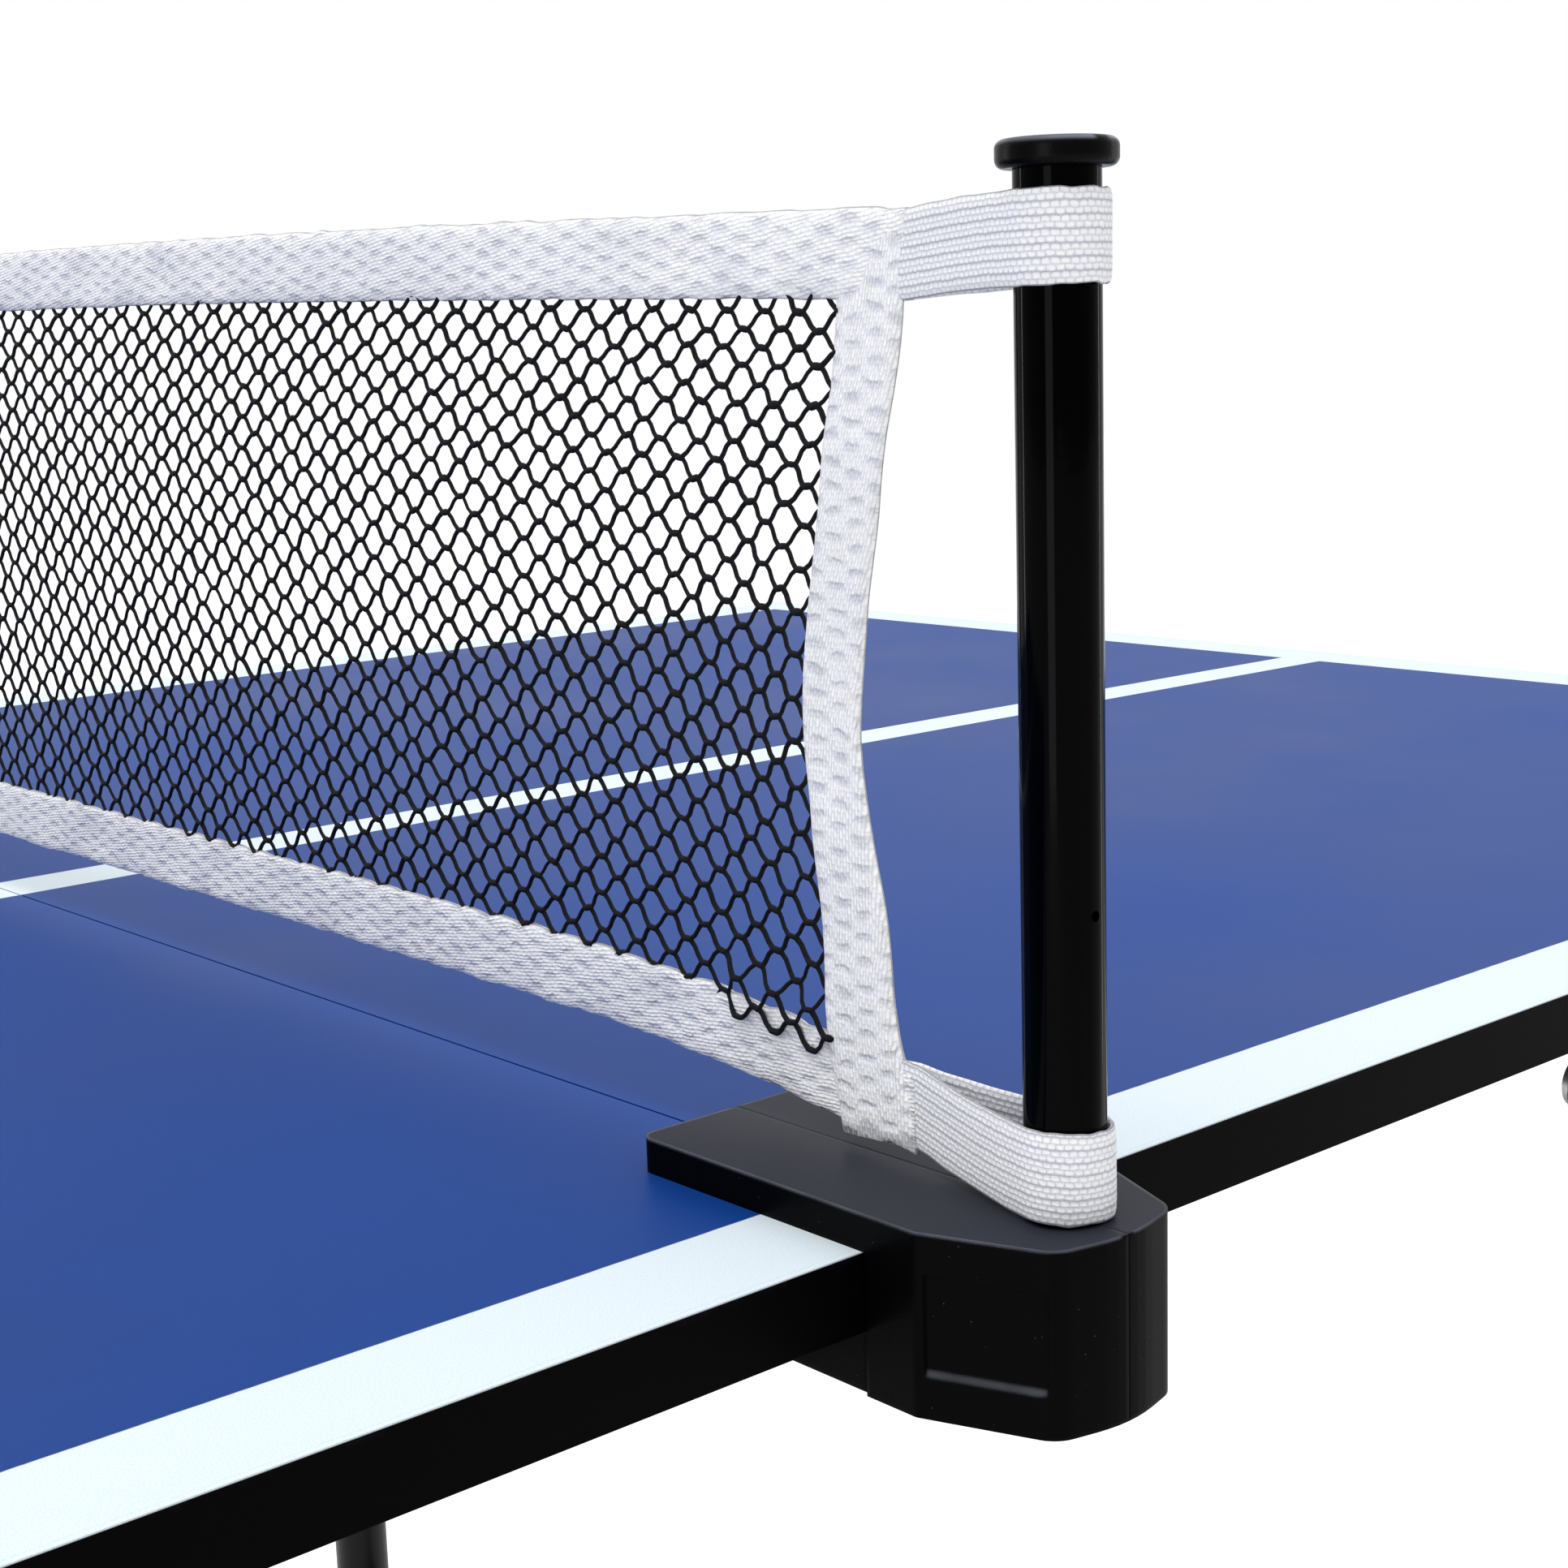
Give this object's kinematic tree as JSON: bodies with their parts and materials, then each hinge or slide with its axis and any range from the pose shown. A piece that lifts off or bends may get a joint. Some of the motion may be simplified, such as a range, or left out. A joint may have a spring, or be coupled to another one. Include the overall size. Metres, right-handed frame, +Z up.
{
  "type": "ping pong table",
  "caption": "Compact ping pong table: blue half tops with white lines on folding steel legs, with a mesh net on clamp-on posts.",
  "frame": {"origin": "on the floor under the middle of the table", "axes": "+X along the table's length, +Y across it from the front side to the rear side, +Z up"},
  "size_m": [1.25, 0.8242, 0.8554],
  "materials": {
    "blue_top": "matt blue painted board with white lines",
    "black_band": "satin black plastic edge",
    "frame_black": "black powder coat",
    "leg_black": "black powder coat",
    "zinc": "zinc plated",
    "stay_zinc": "zinc plated flat steel",
    "black_plastic": "moulded black plastic",
    "rubber_black": "black rubber",
    "clamp_black": "fine textured black plastic",
    "spring_steel": "bright spring steel",
    "post_black": "gloss black enamel",
    "cap_black": "semi-gloss black plastic",
    "net_black": "knotless black cord mesh",
    "tape_white": "white woven net tape",
    "elastic_white": "white ribbed elastic"
  },
  "bodies": {
    "table": {"left_top_board": "blue_top", "left_edge_band": "black_band", "left_front_rail": "frame_black", "left_rear_rail": "frame_black", "left_end_rail": "frame_black", "left_centre_rail": "frame_black", "left_front_plate": "frame_black", "left_rear_plate": "frame_black", "right_top_board": "blue_top", "right_edge_band": "black_band", "right_front_rail": "frame_black", "right_rear_rail": "frame_black", "right_end_rail": "frame_black", "right_centre_rail": "frame_black", "right_front_plate": "frame_black", "right_rear_plate": "frame_black", "joining_bolts": "zinc", "board_screws": "zinc", "leg_pivot_bolts": "zinc", "front_clamp_left_shell": "clamp_black", "front_clamp_right_shell": "clamp_black", "front_post": "post_black", "rear_clamp_left_shell": "clamp_black", "rear_clamp_right_shell": "clamp_black", "rear_post": "post_black", "jaw_pins": "spring_steel", "jaw_springs": "spring_steel", "clamp_screws": "zinc", "post_caps": "cap_black", "net_mesh": "net_black", "net_top_tape": "tape_white", "net_bottom_tape": "tape_white", "net_side_tapes": "tape_white", "upper_loops": "elastic_white", "lower_loops": "elastic_white"},
    "left_leg_frame": {"left_front_leg": "leg_black", "left_rear_leg": "leg_black", "left_stretcher": "leg_black", "left_stay_rivets": "zinc", "left_leg_plugs": "black_plastic"},
    "left_stay_pair": {"left_stays": "stay_zinc"},
    "left_shoe_pair": {"left_slide_shoes": "black_plastic"},
    "left_front_foot": {"left_front_foot": "rubber_black"},
    "left_rear_foot": {"left_rear_foot": "rubber_black"},
    "right_leg_frame": {"right_front_leg": "leg_black", "right_rear_leg": "leg_black", "right_stretcher": "leg_black", "right_stay_rivets": "zinc", "right_leg_plugs": "black_plastic"},
    "right_stay_pair": {"right_stays": "stay_zinc"},
    "right_shoe_pair": {"right_slide_shoes": "black_plastic"},
    "right_front_foot": {"right_front_foot": "rubber_black"},
    "right_rear_foot": {"right_rear_foot": "rubber_black"},
    "front_jaw": {"front_jaw": "clamp_black"},
    "rear_jaw": {"rear_jaw": "clamp_black"}
  },
  "joints": [
    {"name": "left_leg_fold", "type": "hinge", "parent": "table", "child": "left_leg_frame", "pos_m": [-0.3, 0, 0.594], "axis": [0, -1, 0], "range_deg": [0, 90]},
    {"name": "left_stay_turn", "type": "hinge", "parent": "left_leg_frame", "child": "left_stay_pair", "pos_m": [-0.3, 0, 0.444], "axis": [0, -1, 0], "range_deg": [-52.01, 0]},
    {"name": "left_shoe_slide", "type": "slide", "parent": "table", "child": "left_shoe_pair", "axis": [1, 0, 0], "range_m": [0, 0.11489]},
    {"name": "left_front_foot_screw", "type": "slide", "parent": "left_leg_frame", "child": "left_front_foot", "axis": [0, 0, -1], "range_m": [0, 0.012]},
    {"name": "left_rear_foot_screw", "type": "slide", "parent": "left_leg_frame", "child": "left_rear_foot", "axis": [0, 0, -1], "range_m": [0, 0.012]},
    {"name": "right_leg_fold", "type": "hinge", "parent": "table", "child": "right_leg_frame", "pos_m": [0.3, 0, 0.622], "axis": [0, 1, 0], "range_deg": [0, 90]},
    {"name": "right_stay_turn", "type": "hinge", "parent": "right_leg_frame", "child": "right_stay_pair", "pos_m": [0.3, 0, 0.472], "axis": [0, 1, 0], "range_deg": [-52.01, 0]},
    {"name": "right_shoe_slide", "type": "slide", "parent": "table", "child": "right_shoe_pair", "axis": [-1, 0, 0], "range_m": [0, 0.11489]},
    {"name": "right_front_foot_screw", "type": "slide", "parent": "right_leg_frame", "child": "right_front_foot", "axis": [0, 0, -1], "range_m": [0, 0.012]},
    {"name": "right_rear_foot_screw", "type": "slide", "parent": "right_leg_frame", "child": "right_rear_foot", "axis": [0, 0, -1], "range_m": [0, 0.012]},
    {"name": "front_jaw_open", "type": "hinge", "parent": "table", "child": "front_jaw", "pos_m": [0, -0.384, 0.661], "axis": [-1, 0, 0], "range_deg": [0, 10], "stiffness_Nm_per_rad": 0.6, "springref_deg": -28.65},
    {"name": "rear_jaw_open", "type": "hinge", "parent": "table", "child": "rear_jaw", "pos_m": [0, 0.384, 0.661], "axis": [1, 0, 0], "range_deg": [0, 10], "stiffness_Nm_per_rad": 0.6, "springref_deg": -28.65}
  ],
  "couplings": [
    {"joint": "left_stay_turn", "follows": "left_leg_fold", "ratio": -0.57735},
    {"joint": "left_shoe_slide", "follows": "left_leg_fold", "m_per_rad": 0.07311},
    {"joint": "right_stay_turn", "follows": "right_leg_fold", "ratio": -0.57735},
    {"joint": "right_shoe_slide", "follows": "right_leg_fold", "m_per_rad": 0.07311}
  ]
}
